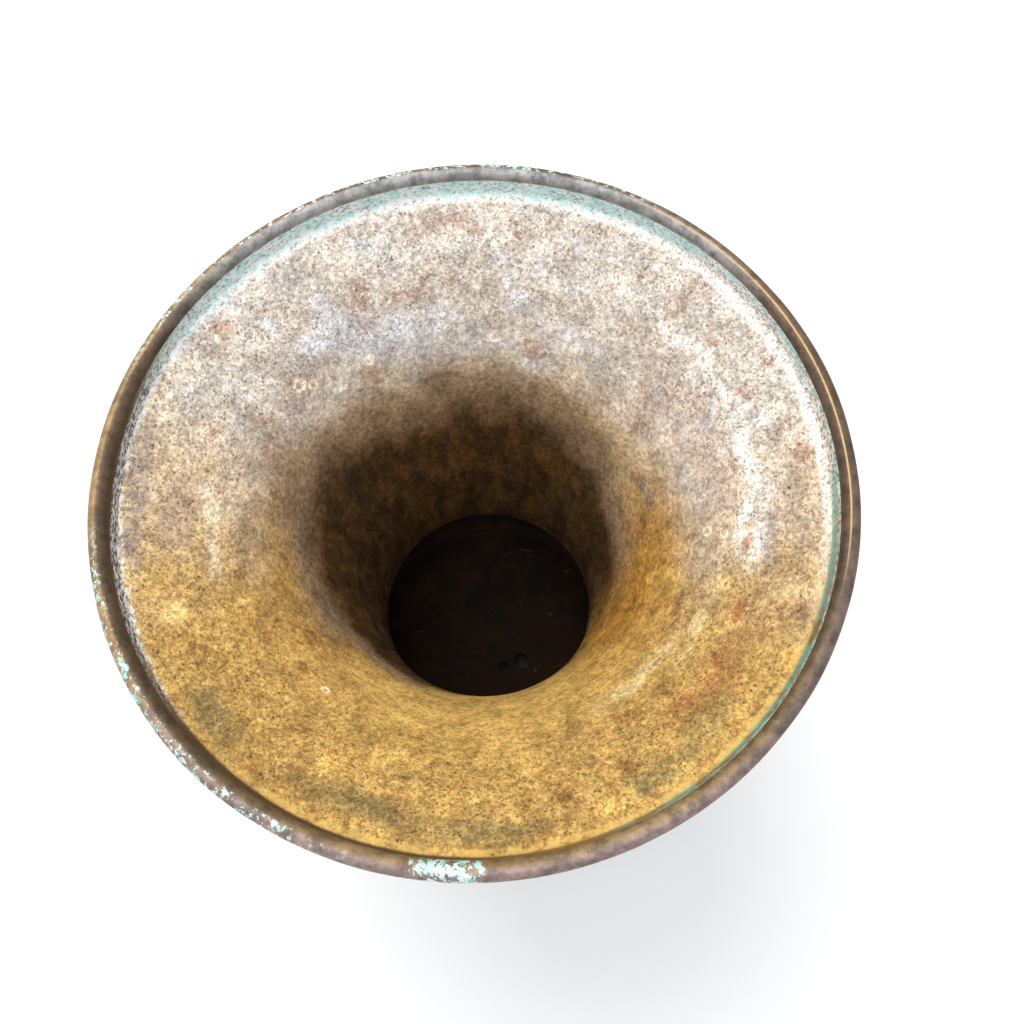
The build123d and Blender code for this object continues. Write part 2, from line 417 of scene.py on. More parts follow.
# Painted sky reflection on the far side of the upstand and of the rim's inside
SKY_SHEEN_GREY = (0.27, 0.265, 0.26)
FROST = (0.74, 0.80, 0.82)
VERDIGRIS = (0.36, 0.70, 0.67)
TEAL = (0.13, 0.33, 0.27)
BEAD_BROWN = (0.17, 0.105, 0.065)
# The rim's painted sheen near the camera, and its painted light on the left
BEAD_SHEEN_PURPLE = (0.25, 0.175, 0.15)
BEAD_LIT_GOLD = (0.33, 0.205, 0.09)
BEAD_OLIVE = (0.22, 0.145, 0.065)

# (colour, angle, radius, half length round the pot, half length across, strength)
STAINS = [
    # The blue-grey clouds on the far side are partly stain, partly painted sky reflection
    (BLUE_GREY_AND_SHEEN, 112, 100, 26, 10, 0.85),
    (BLUE_GREY_AND_SHEEN, 128, 109, 16, 8, 0.8),
    (BLUE_GREY_AND_SHEEN, 72, 88, 9, 5, 0.8),
    (BLUE_GREY_AND_SHEEN, 95, 92, 30, 7, 0.6),
    (LIME, 100, 124, 60, 4, 0.45),
    (LIME, 35, 119, 60, 3.5, 0.5),
    (LIME, 10, 117, 22, 5, 0.85),
    (CREAM, 185, 112, 28, 3.5, 0.6),
    (STRAW, 312, 98, 26, 5, 0.7),
    (STRAW, 331, 105, 26, 4, 0.7),
    (SLATE, 349, 122, 11, 4, 0.6),
    (SLATE, 160, 126, 13, 5, 0.45),
    (SLATE, 128, 131, 13, 5, 0.45),
    (SLATE, 15, 81, 10, 4, 0.6),
    (MAUVE, 182, 138, 36, 5, 0.75),
    (MAUVE, 352, 131, 14, 6, 0.45),
    (PINK, 183, 124, 20, 6, 0.6),
    (PINK, 97, 131, 14, 6, 0.55),
    (PINK, 20, 103, 45, 14, 0.5),
    (PINK, 150, 99, 30, 9, 0.5),
    (OLIVE, 222, 134, 15, 6, 0.95),
    (OLIVE, 250, 131, 22, 5, 0.9),
    (OLIVE, 270, 134, 26, 5, 0.8),
    (OLIVE, 300, 134, 14, 5, 0.8),
    (OLIVE, 311, 130, 12, 5, 0.7),
    (BROWN_GOLD, 316, 124, 24, 8, 0.6),
    (BROWN_GOLD, 178, 93, 34, 13, 0.5),
    (BROWN_GOLD, 226, 130, 44, 12, 0.5),
    (BROWN_GOLD, 262, 131, 120, 12, 0.35),
    (BROWN_GOLD, 342, 129, 60, 12, 0.25),
    (RUST, 318, 119, 24, 8, 0.45),
    (RUST, 334, 116, 7, 2.5, 0.75),
    (LIME, 352, 115, 17, 6.5, 1.0),
    (RUST, 348, 114, 6, 2.8, 0.95),
    (RUST, 163, 117, 6, 1.5, 0.7),
]

# (angle, radius, size across) of the ring-shaped marks that drops left
DROP_MARKS = [
    (142, 103, 4.5), (139, 100, 3.6), (112, 111, 4.2), (85, 94, 3.4), (105, 103, 4.0),
    (60, 96, 3.6), (354, 100, 3.8), (352, 106, 3.2), (230, 99, 3.0), (122, 96, 3.8),
]


def side_tint(t, broad, middle):
    """Pale on the far side, partly as a painted sky reflection, golden on the near side, with brown
    and bright clouds in both.
    """
    drift = t.number("MULTIPLY", t.number("SUBTRACT", broad, 0.5), 0.9)
    inwards = t.step(t.radius, 100.0, 78.0, 0.0, 0.55)
    drift = t.number("SUBTRACT", drift, inwards)
    # Pale on the far side: partly patina, partly painted sky reflection
    pale = t.step(t.number("ADD", t.facing(84.0), drift), -0.6, 0.5)
    clouds = t.noise(15.0, 6.0, 0.66, seed=4.0)
    gold = t.mix(t.step(clouds, 0.52, 0.68), GOLD, BRIGHT_GOLD)
    gold = t.mix(t.step(clouds, 0.46, 0.34), gold, BROWN_GOLD)
    ridge = t.number("ABSOLUTE", t.number("SUBTRACT", t.noise(9.0, 6.0, 0.7, seed=6.0), 0.5))
    veins = t.both(t.step(ridge, 0.045, 0.01), t.step(middle, 0.40, 0.56), 0.6)
    gold = t.mix(veins, gold, EMBER)
    # Painted light: the near side of the brim, towards the throat, lightened in gold
    near_light_pool = t.both(t.step(t.radius, 112.0, 84.0), t.step(t.facing(268.0), 0.55, 0.95), 0.55)
    gold = t.mix(near_light_pool, gold, BRIGHT_GOLD)
    white = t.mix(t.both(t.step(clouds, 0.53, 0.68), 0.8), PALE_AND_SHEEN, BLUE_GREY_AND_SHEEN)
    white = t.mix(t.step(clouds, 0.48, 0.34), white, PINK)
    white = t.mix(t.both(t.step(middle, 0.55, 0.70), 0.5), white, LIME)
    return t.mix(pale, gold, white)


def stained(t, colour, ragged, middle):
    """The stains and the drop marks, laid over a colour."""
    uneven = t.step(middle, 0.34, 0.58, 0.2, 1.0)
    for tone, angle, radius, along, across, strength in STAINS:
        mask = t.patch(ragged, angle, radius, along, across)
        colour = t.mix(t.both(mask, uneven, strength), colour, tone)
    crisp = t.ragged(0.8, 3.0, 2.0)
    rings = 0.0
    for angle, radius, size in DROP_MARKS:
        away = t.patch(crisp, angle, radius, size / 2, size / 2, soft=0.98)
        ring = t.both(t.step(away, 0.10, 0.32), t.step(away, 0.62, 0.86, 1.0, 0.0))
        rings = t.number("MAXIMUM", rings, ring)
    return t.mix(t.both(rings, 0.8), colour, CREAM)


def throat_tint(t, colour, broad):
    """Painted shade deep in the throat: dark brown, reaching higher on the side away from the light,
    with painted light in gold on the side towards it.
    """
    # High on the walls that face away from the light, where the painted shadow reaches highest
    shadow_side = t.number("MAXIMUM", t.facing(142.0), t.facing(102.0))
    depth = t.number("MULTIPLY_ADD", shadow_side, -22.0, t.z)
    depth = t.number("SUBTRACT", depth, t.step(t.facing(175.0), 0.6, 1.0, 0.0, 14.0))
    depth = t.number("MULTIPLY_ADD", t.number("SUBTRACT", broad, 0.5), 44.0, depth)
    streak_place = t.vector("MULTIPLY", t.place, (1.0, 1.0, 0.3))
    streaks = t.noise(8.0, 5.0, 0.7, place=streak_place, seed=5.0)
    depth = t.number("MULTIPLY_ADD", t.number("SUBTRACT", streaks, 0.5), 14.0, depth)
    warm = t.both(t.step(t.radius, 100.0, 66.0), t.step(t.facing(262.0), 0.9, 0.3))
    colour = t.mix(warm, colour, t.mix(1.0, colour, WARM, "MULTIPLY"))
    # Painted half shade: a grey-brown band above the shadow, on the side away from the light
    edge = t.both(t.step(shadow_side, -0.75, 0.1), t.step(depth, 230.0, 208.0))
    colour = t.mix(edge, colour, THROAT_SHADOW_EDGE)
    # Painted shadow: near black away from the light, and painted light in a darker gold on the side
    # towards it
    far = t.mix(t.step(streaks, 0.38, 0.66), THROAT_SHADOW, THROAT_HALF_SHADOW)
    far = t.mix(t.both(t.step(streaks, 0.62, 0.74), t.step(t.facing(200.0), 0.0, 0.8)), far, SLATE)
    near = t.mix(t.step(streaks, 0.36, 0.62), THROAT_HALF_SHADOW, THROAT_LIT_GOLD)
    tint = t.mix(t.step(shadow_side, -0.75, -0.1), near, far)
    return t.mix(t.step(depth, 212.0, 186.0), colour, tint)


def bare_lip(t, colour, far, left, patchy):
    """The upstand's colours, grey on the far side as a painted sky reflection, and a bright gold
    line of painted light in the crease near the camera.
    """
    wall = t.step(t.radius, 143.2, 144.2)
    tone = t.mix(t.step(left, 0.1, 0.5), BROWN_GOLD, UMBER)
    colour = t.mix(wall, colour, t.mix(t.step(far, 0.1, 0.5), tone, SKY_SHEEN_GREY))

    # Painted light: the crease near the camera lightened to bright gold
    near = t.both(t.step(t.radius, 140.5, 142.0), t.step(t.radius, 144.4, 143.4))
    near = t.both(near, t.step(t.facing(284.0), 0.4, 0.85), t.step(patchy, 0.36, 0.56), 0.75)
    return t.mix(near, colour, BRIGHT_GOLD)


def lip_crust(t, colour, far, right, patchy, crust):
    """Crust that starts white on the brim and turns blue-green in the crease and up the wall."""
    shore = t.number("MULTIPLY_ADD", patchy, 8.0, t.radius)
    deep = t.number("MULTIPLY_ADD", t.step(t.facing(350.0), 0.2, 0.7), -2.4, shore)
    side = t.step(t.number("MAXIMUM", far, t.facing(45.0)), 0.3, 0.8)
    streaky = t.step(crust, 0.41, 0.48)
    flecks = t.noise(1.3, 4.0, 0.75, seed=14.0)
    white = t.both(t.step(shore, 143.2, 144.8), t.step(deep, 148.0, 146.4), side, streaky)
    colour = t.mix(t.both(white, t.step(flecks, 0.40, 0.52)), colour, LIME)
    green = t.step(t.noise(9.0, 5.0, 0.7, seed=13.0), 0.42, 0.52)
    blue = t.mix(t.both(t.step(flecks, 0.44, 0.52), green), FROST, VERDIGRIS)
    dark = t.both(t.step(t.facing(350.0), 0.5, 0.95), t.step(crust, 0.62, 0.54))
    blue = t.mix(t.both(dark, t.step(flecks, 0.52, 0.44)), blue, TEAL)
    side = t.step(t.number("MAXIMUM", far, right), 0.1, 0.55)
    bed = t.both(t.step(deep, 145.8, 147.2), side, t.step(t.z, 309.0, 305.5))
    colour = t.mix(t.both(bed, streaky, 0.95), colour, blue)
    thin = t.both(t.step(t.radius, 143.2, 143.8), t.step(t.z, 305.0, 303.0))
    thin = t.both(thin, t.step(t.facing(325.0), 0.75, 0.9), t.step(patchy, 0.40, 0.50), 0.75)
    colour = t.mix(thin, colour, TEAL)
    low = t.both(t.step(shore, 145.6, 147.2), t.step(t.z, 305.0, 303.0))
    grey = t.both(low, t.step(t.facing(172.0), 0.6, 0.9), t.step(crust, 0.45, 0.56), 0.8)
    return t.mix(grey, colour, FROST)


def crusted_lip(t, colour):
    """The crease and the upstand under the rolled rim, where water stands and crusts grow, with
    painted light and sky reflection.
    """
    far, right, left = t.facing(85.0), t.facing(12.0), t.facing(200.0)
    patchy = t.noise(6.0, 5.0, 0.72, seed=11.0)
    long_place = t.vector("MULTIPLY", t.place, (1.0, 1.0, 2.2))
    crust = t.noise(2.4, 5.0, 0.74, place=long_place, seed=12.0)
    colour = bare_lip(t, colour, far, left, patchy)
    return lip_crust(t, colour, far, right, patchy, crust)


def inside_patina_and_light():
    """The inside of the mouth, from the throat up to the rolled rim: its weathering, with painted
    light, shade and sky reflection.
    """
    t = Tree("mouth_patina_and_light")
    broad = t.noise(42.0, 4.0, 0.6, seed=1.0)
    middle = t.noise(7.0, 5.0, 0.68, seed=2.0)
    fine = t.noise(1.9, 3.0, 0.7, seed=3.0)
    colour = side_tint(t, broad, middle)
    colour = stained(t, colour, t.ragged(8.0, 14.0, 5.0), middle)
    colour = throat_tint(t, colour, broad)

    # Grain: dark pits and cream crumbs, strongest on the outer brim
    outer = t.step(t.radius, 80.0, 120.0, 0.32, 1.0)
    grain = t.noise(1.1, 2.0, 0.75, seed=9.0)
    pits = t.step(grain, 0.46, 0.36)
    pits = t.both(pits, t.step(middle, 0.66, 0.42, 0.35, 1.0), outer)
    crumbs = t.both(t.step(grain, 0.55, 0.66), t.step(middle, 0.36, 0.56, 0.3, 1.0), outer)
    holes = t.step(t.cells(3.4, t.ragged(0.8, 2.0, 2.0)), 0.12, 0.26, 1.0, 0.0)
    holes = t.both(holes, t.step(t.noise(9.0, 2.0, 0.6, seed=7.0), 0.50, 0.62), outer)
    shade = t.step(fine, 0.28, 0.74, 0.56, 1.42)
    mottle = t.step(t.noise(11.0, 6.0, 0.72, seed=8.0), 0.34, 0.66, 0.74, 1.24)
    shade = t.number("MULTIPLY", shade, mottle)
    colour = t.mix(1.0, colour, t.join(shade, shade, shade), "MULTIPLY")
    dark = t.mix(1.0, colour, PIT_SHADE, "MULTIPLY")
    colour = t.mix(t.both(pits, 0.95), colour, dark)
    bright = t.mix(1.0, colour, CRUMB_LIGHT, "MULTIPLY")
    colour = t.mix(t.both(crumbs, 0.9), colour, bright)
    colour = t.mix(t.both(holes, 0.8), colour, t.mix(t.step(broad, 0.45, 0.55), PIT, RUST))
    colour = crusted_lip(t, colour)

    height = t.number("MULTIPLY_ADD", fine, 0.6, t.number("MULTIPLY", grain, outer))
    height = t.number("MULTIPLY_ADD", holes, -0.8, height)
    rough = t.step(middle, 0.3, 0.7, 0.60, 0.85)
    return t.done(colour, rough, t.bump(height, 0.34), 0.0, 0.25)


# ---------------------------------------------------------------- the outside's patina, with painted light and shade

# Linear colours of the outside, the inside of the body, the floor and the braze
TOBACCO = (0.085, 0.046, 0.024)
COPPER_BROWN = (0.21, 0.115, 0.055)
WORN_BRASS = (0.46, 0.30, 0.12)
SOOT = (0.030, 0.020, 0.014)
# The pot's floor: near black, painted shade over brown
FLOOR_SHADOW_DARK = (0.008, 0.0040, 0.0022)
FLOOR_SHADOW_BROWN = (0.024, 0.011, 0.006)
FLOOR_SCRATCH = (0.20, 0.13, 0.08)
# The inside of the body: near black, painted shade over dark brown
BODY_SHADOW_DARK = (0.012, 0.0065, 0.004)
BODY_SHADOW_BROWN = (0.032, 0.016, 0.009)
SILT = (0.09, 0.05, 0.03)
FLUX = (0.09, 0.055, 0.025)
BRAZE_YELLOW = (0.34, 0.23, 0.09)

# Heights in mm: (lowest, highest) of what handling has worn bright, and seams that hold water
BODY_CRESTS = [(40, 49)]
BODY_SEAMS = [49.0, 40.0, 108.5, 12.0]
TRUMPET_SEAMS = [122.0, 297.0]
RING_CRESTS = [(112, 118), (42.5, 46.5), (0.4, 3.4)]
RING_SEAMS = [110.5, 119.5]


def brown_patina(name, crests, seams):
    """Brown patina with turning lines, bright worn crests and verdigris in the seams."""
    t = Tree(name)
    broad = t.noise(46.0, 4.0, 0.6, seed=21.0)
    drips = t.noise(9.0, 5.0, 0.7, place=t.vector("MULTIPLY", t.place, (1, 1, 0.16)), seed=22.0)
    fine = t.noise(2.0, 4.0, 0.72, seed=23.0)
    lines = t.noise(1.3, 3.0, 0.6, place=t.vector("MULTIPLY", t.place, (0.02, 0.02, 1)), seed=24.0)
    colour = t.mix(t.step(broad, 0.36, 0.64), TOBACCO, COPPER_BROWN)
    colour = t.mix(t.both(t.step(drips, 0.50, 0.68), 0.7), colour, BROWN_GOLD)
    colour = t.mix(t.both(t.step(drips, 0.44, 0.30), 0.7), colour, SOOT)
    worn = t.both(t.step(fine, 0.52, 0.70), t.step(broad, 0.42, 0.60), 0.55)
    for low, high in crests:
        band = t.both(t.step(t.z, low - 0.6, low + 0.6), t.step(t.z, high + 0.6, high - 0.6))
        worn = t.number("MAXIMUM", worn, t.both(band, t.step(fine, 0.30, 0.56)))
    colour = t.mix(worn, colour, WORN_BRASS)
    crust = t.noise(4.0, 5.0, 0.75, seed=26.0)
    green = t.both(t.step(crust, 0.60, 0.68), t.step(broad, 0.50, 0.60), 0.8)
    stretches = t.step(t.noise(26.0, 3.0, 0.6, seed=27.0), 0.44, 0.58)
    for height in seams:
        off = t.number("ABSOLUTE", t.number("SUBTRACT", t.z, height))
        growth = t.both(t.step(off, 4.5, 0.5), t.step(crust, 0.46, 0.58), stretches, 0.9)
        green = t.number("MAXIMUM", green, growth)
    colour = t.mix(green, colour, t.mix(t.step(fine, 0.4, 0.6), TEAL, VERDIGRIS))
    # The rolled rim's colours, with its painted light, sheen and shade
    colour = bead_tint(t, colour, fine, broad)
    height = t.number("MULTIPLY_ADD", green, 0.8, t.number("MULTIPLY_ADD", fine, 0.5, lines))
    rough = t.number("MAXIMUM", t.step(fine, 0.3, 0.7, 0.44, 0.66), t.number("MULTIPLY", green, 0.9))
    metal = t.number("MULTIPLY", t.invert(green), 0.3)
    return t.done(colour, rough, t.bump(height, 0.22), metal)


def bead_metal(t, broad):
    """The rolled rim: brown, with painted light in gold on the left, a painted purple sheen near the
    camera, a painted sky reflection in grey inside on the far side, and painted shade on the right.
    """
    far, left, near = t.facing(100.0), t.facing(190.0), t.facing(285.0)
    outer = t.mix(t.step(left, 0.2, 0.8), BEAD_BROWN, BEAD_LIT_GOLD)
    outer = t.mix(t.step(near, 0.1, 0.7), outer, BEAD_SHEEN_PURPLE)
    inner = t.mix(t.step(far, 0.25, 0.65), BEAD_BROWN, SKY_SHEEN_GREY)
    inner = t.mix(t.step(t.facing(205.0), 0.2, 0.7), inner, UMBER)
    inner = t.mix(t.step(t.facing(285.0), 0.5, 0.9), inner, BEAD_OLIVE)
    uneven = t.number("MULTIPLY_ADD", broad, 1.2, t.radius)
    tint = t.mix(t.step(uneven, 148.6, 150.0), inner, outer)
    mottled = t.step(t.noise(6.0, 5.0, 0.74, seed=31.0), 0.35, 0.65, 0.55, 1.3)
    tint = t.mix(1.0, tint, t.join(mottled, mottled, mottled), "MULTIPLY")
    # Painted shade on the right of the rim, away from the light
    shade = t.step(t.facing(352.0), 0.6, 1.0, 1.0, 0.55)
    tint = t.mix(1.0, tint, t.join(shade, shade, shade), "MULTIPLY")
    off = t.number("ABSOLUTE", t.number("SUBTRACT", t.radius, 147.9))
    polish = t.both(t.step(off, 0.5, 0.1), t.step(t.facing(22.0), 0.7, 0.9), t.step(t.z, 308, 309.2))
    return t.mix(polish, tint, WORN_BRASS)


def bead_scale(t, tint, fine):
    """Verdigris and lime flecks on the rim: far edge, low on the left, and one near patch."""
    specks = t.noise(2.6, 4.0, 0.78, seed=32.0)
    outer_edge = t.both(t.step(t.radius, 148.4, 149.4), t.step(t.facing(108.0), 0.5, 0.8))
    low_left = t.both(t.step(t.radius, 147.6, 149.0), t.step(t.facing(220.0), 0.8, 0.95))
    scale = t.number("MAXIMUM", outer_edge, low_left)
    scale = t.both(scale, t.step(specks, 0.52, 0.57))
    patch = t.patch_on_rim(t.ragged(4.0, 5.0, 5.0), 266.0, 13.0)
    growth = t.step(t.number("MULTIPLY_ADD", patch, 0.12, specks), 0.59, 0.65)
    scale = t.number("MAXIMUM", scale, t.both(growth, t.step(patch, 0.0, 0.1)))
    return t.mix(scale, tint, t.mix(t.step(fine, 0.46, 0.60), VERDIGRIS, LIME))


def bead_tint(t, colour, fine, broad):
    """A colour, with the rolled rim's colours, patina with painted light, sheen and shade, from the
    foot of the rim upwards.
    """
    bead = t.step(t.z, 298.8, 300.4)
    return t.mix(bead, colour, bead_scale(t, bead_metal(t, broad), fine))


def floor_patina_and_shade():
    """The floor of the pot: nearly black, as painted shade over its brown, stained, with pale
    scratches and reddish silt.
    """
    t = Tree("floor_patina_and_shade")
    broad = t.noise(24.0, 5.0, 0.65, seed=41.0)
    fine = t.noise(1.6, 4.0, 0.72, seed=42.0)
    # Painted shade: near-black tones over the floor's brown
    colour = t.mix(t.step(broad, 0.38, 0.66), FLOOR_SHADOW_DARK, FLOOR_SHADOW_BROWN)
    colour = t.mix(t.both(t.step(fine, 0.60, 0.74), 0.3), colour, SILT)
    scratch_place = t.vector("MULTIPLY", t.ragged(6.0, 30.0, 1.0), (0.05, 1.1, 1.0))
    scratches = t.step(t.noise(1.6, 1.0, 0.5, place=scratch_place, seed=43.0), 0.72, 0.76)
    colour = t.mix(t.both(scratches, 0.25), colour, FLOOR_SCRATCH)
    green = t.both(t.step(t.noise(5.0, 4.0, 0.7, seed=44.0), 0.64, 0.72), 0.15)
    colour = t.mix(green, colour, TEAL)
    rough = t.step(broad, 0.35, 0.65, 0.6, 0.85)
    return t.done(colour, rough, t.bump(fine, 0.25), 0.0, 0.08)


def inside_of_body():
    """The unlit inside of the body: dark brown, with a little silt."""
    t = Tree("body_inside")
    broad = t.noise(24.0, 5.0, 0.65, seed=46.0)
    fine = t.noise(1.6, 4.0, 0.72, seed=47.0)
    # Painted shade: near black over the body's dark brown
    colour = t.mix(t.step(broad, 0.38, 0.66), BODY_SHADOW_DARK, BODY_SHADOW_BROWN)
    colour = t.mix(t.both(t.step(fine, 0.60, 0.74), 0.3), colour, SILT)
    rough = t.step(broad, 0.35, 0.65, 0.6, 0.85)
    return t.done(colour, rough, t.bump(fine, 0.25), 0.0, 0.1)


def braze_metal():
    """Tarnished brazing metal: yellower than the sheets, with dark flux in its hollows."""
    t = Tree("braze_metal")
    fine = t.noise(1.5, 4.0, 0.72, seed=51.0)
    broad = t.noise(12.0, 4.0, 0.6, seed=52.0)
    colour = t.mix(t.step(fine, 0.36, 0.62), FLUX, BRAZE_YELLOW)
    colour = t.mix(t.both(t.step(broad, 0.55, 0.68), 0.7), colour, TEAL)
    return t.done(colour, t.step(fine, 0.3, 0.7, 0.4, 0.65), t.bump(fine, 0.3), 0.5)


def repaint(node, material):
    """Gives a CAD node that stays as it is a finished material."""
    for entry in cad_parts[node].material_slots:
        entry.material = material


# ---------------------------------------------------------------- pieces

def rounded(corners, radius, steps=3):
    """A path through corners, with each inner corner eased by a small curve."""
    made = [corners[0]]
    for before, corner, after in zip(corners, corners[1:], corners[2:]):
        into, out = np.subtract(before, corner), np.subtract(after, corner)
        reach = min(radius, 0.45 * np.linalg.norm(into), 0.45 * np.linalg.norm(out))
        a = np.add(corner, into / np.linalg.norm(into) * reach)
        b = np.add(corner, out / np.linalg.norm(out) * reach)
        for t in np.linspace(0, 1, steps + 1):
            made.append(tuple((1 - t) ** 2 * a + 2 * t * (1 - t) * np.array(corner) + t * t * b))
    return made + [corners[-1]]


def hammered(reach, size, seed):
    """A shape function: soft dents up to reach, about size across."""
    shift = Vector((seed, -seed, 0.5 * seed))

    def shape(point):
        return reach * noise.fractal(point / size + shift, 1.0, 2.0, 2)

    return shape


def mouth_trumpet():
    """One sheet: spigot, throat, brim, crease, upstand and the roll round the wire."""
    inside = trumpet_path(110)
    roll_end = BEAD_START - ROLL_SWEEP
    hidden = BEAD_RADIUS - MOUTH_SHEET
    outer_crease = CREASE_RADIUS + MOUTH_SHEET
    crease_end = CREASE_START + CREASE_SWEEP
    spigot = (NECK_RADIUS, SPIGOT_FOOT)
    spigot_back = (NECK_RADIUS + MOUTH_SHEET, SPIGOT_FOOT)
    back = beside(inside[::2], MOUTH_SHEET)[::-1]
    spans = [
        (line(spigot, inside[0], 6), 0),
        (inside, 0),
        (arc(CREASE, CREASE_RADIUS, CREASE_START, CREASE_SWEEP, 6), 0),
        (line(WALL_FOOT, WALL_TOP, 6), 0),
        (arc(BEAD, BEAD_RADIUS, BEAD_START, -ROLL_SWEEP, 30), 1),
        (arc(BEAD, hidden, roll_end, ROLL_SWEEP, 14), 1),
        (arc(CREASE, outer_crease, crease_end, -CREASE_SWEEP, 5), 1),
        (back, 1),
        (line(back[-1], spigot_back, 3), 1),
        (line(spigot_back, spigot, 1), 1),
    ]
    return lathe("trumpet", spans, TRUMPET_SEGMENTS, hammered(*TRUMPET_DENTS))


# The body's shoulder, belly and bowl
COLLAR_FOOT = 110.0 * MM
NECK_FLARE = 9.0 * MM
SHOULDER_FALL = 18.0
LOWER_CURVE = 32.0 * MM
LEDGE_RADIUS = 69.0 * MM
FOOT_STEP = 78.6 * MM
COLLAR_INSIDE = NECK_RADIUS + MOUTH_SHEET + SEAM_GAP
COLLAR_OUTSIDE = COLLAR_INSIDE + BODY_SHEET
FLARE = (COLLAR_OUTSIDE + NECK_FLARE, COLLAR_FOOT)
SHOULDER_START = polar(FLARE, NECK_FLARE, 270 - SHOULDER_FALL)
SHOULDER_CURVE = (BELLY_RADIUS - SHOULDER_START[0]) / (
    1 - math.sin(math.radians(SHOULDER_FALL))
)
BELLY = (
    BELLY_RADIUS - SHOULDER_CURVE,
    SHOULDER_START[1] - SHOULDER_CURVE * math.cos(math.radians(SHOULDER_FALL)),
)
JOGGLE_FOOT = BELLY_SEAM - 2 * BODY_SHEET
LOWER = (BELLY_RADIUS - LOWER_CURVE, JOGGLE_FOOT)
LEDGE_TOP = LEDGE_HEIGHT + BODY_SHEET
LAP_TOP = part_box("lower_bowl")[1].z
LAP_OUTSIDE = BELLY_RADIUS - BODY_SHEET - SEAM_GAP


def shoulder_shell():
    """Upper half of the body, with the collar that takes the trumpet's spigot."""
    rise = 90 - SHOULDER_FALL
    inner_belly = BELLY_RADIUS - BODY_SHEET
    spans = [
        (line((COLLAR_INSIDE, COLLAR_TOP), (COLLAR_OUTSIDE, COLLAR_TOP), 1), 0),
        (line((COLLAR_OUTSIDE, COLLAR_TOP), (COLLAR_OUTSIDE, COLLAR_FOOT), 4), 0),
        (arc(FLARE, NECK_FLARE, 180, rise, 8), 0),
        (arc(BELLY, SHOULDER_CURVE, rise, -rise, 30), 0),
        (line((BELLY_RADIUS, BELLY[1]), (BELLY_RADIUS, BELLY_SEAM), 5), 0),
        (line((BELLY_RADIUS, BELLY_SEAM), (inner_belly, BELLY_SEAM), 1), 0),
        (line((inner_belly, BELLY_SEAM), (inner_belly, BELLY[1]), 5), 1),
        (arc(BELLY, SHOULDER_CURVE - BODY_SHEET, 0, rise, 24), 1),
        (arc(FLARE, NECK_FLARE + BODY_SHEET, 180 + rise, -rise, 8), 1),
        (line((COLLAR_INSIDE, COLLAR_FOOT), (COLLAR_INSIDE, COLLAR_TOP), 4), 1),
    ]
    return lathe("shoulder", spans, BODY_SEGMENTS, hammered(*SHOULDER_DENTS))


def drop_angle(radius, height):
    """How far down the bowl's curve, in degrees, a wall of this radius reaches a height."""
    return math.degrees(math.asin((LOWER[1] - height) / radius))


def lower_bowl():
    """Lower half of the body, with its lap inside the shoulder and the ledge for the floor."""
    inner = LOWER_CURVE - BODY_SHEET
    outer_drop, inner_drop = drop_angle(LOWER_CURVE, LEDGE_HEIGHT), drop_angle(inner, LEDGE_TOP)
    lap_inside, inner_belly = LAP_OUTSIDE - BODY_SHEET, BELLY_RADIUS - BODY_SHEET
    seam = BELLY_SEAM - SEAM_GAP
    spans = [
        (line((lap_inside, LAP_TOP), (LAP_OUTSIDE, LAP_TOP), 1), 0),
        (line((LAP_OUTSIDE, LAP_TOP), (LAP_OUTSIDE, seam), 3), 0),
        (line((LAP_OUTSIDE, seam), (BELLY_RADIUS, seam), 1), 0),
        (line((BELLY_RADIUS, seam), (BELLY_RADIUS, JOGGLE_FOOT), 2), 0),
        (arc(LOWER, LOWER_CURVE, 0, -outer_drop, 20), 0),
        (line(polar(LOWER, LOWER_CURVE, -outer_drop), (LEDGE_RADIUS, LEDGE_HEIGHT), 4), 0),
        (line((LEDGE_RADIUS, LEDGE_HEIGHT), (LEDGE_RADIUS, LEDGE_TOP), 1), 1),
        (line((LEDGE_RADIUS, LEDGE_TOP), polar(LOWER, inner, -inner_drop), 4), 1),
        (arc(LOWER, inner, -inner_drop, inner_drop, 16), 1),
        (line((inner_belly, JOGGLE_FOOT), (lap_inside, BELLY_SEAM), 1), 1),
        (line((lap_inside, BELLY_SEAM), (lap_inside, LAP_TOP), 2), 1),
    ]
    return lathe("bowl", spans, BODY_SEGMENTS, hammered(*BOWL_DENTS))


# The mouldings' flat fillets, and how much the mouldings' and the foot ring's edges are eased
NECK_FILLET = 1.4 * MM
BELLY_FILLET = 1.2 * MM
MOULDING_EASE = 0.35 * MM
FOOT_EASE = 0.3 * MM


def moulding(name, node, inside, fillet):
    """A half-round ring between two flat fillets, with softened edges, from its node's box."""
    (_, _, low), (outside, _, high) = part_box(node)
    face, reach = inside + fillet, outside - inside - fillet
    middle, half = (low + high) / 2, (high - low) / 2 - fillet
    bulge = [
        (face + reach * math.cos(t), middle + half * math.sin(t))
        for t in np.linspace(math.pi / 2, -math.pi / 2, 17)
    ]
    top = rounded([(inside, middle), (inside, high), (face, high), bulge[0]], MOULDING_EASE)
    foot = rounded([bulge[-1], (face, low), (inside, low), (inside, middle)], MOULDING_EASE)
    spans = [(top, 0), (bulge, 0), (foot, 0)]
    return lathe(name, spans, BODY_SEGMENTS, hammered(*MOULDING_DENTS))


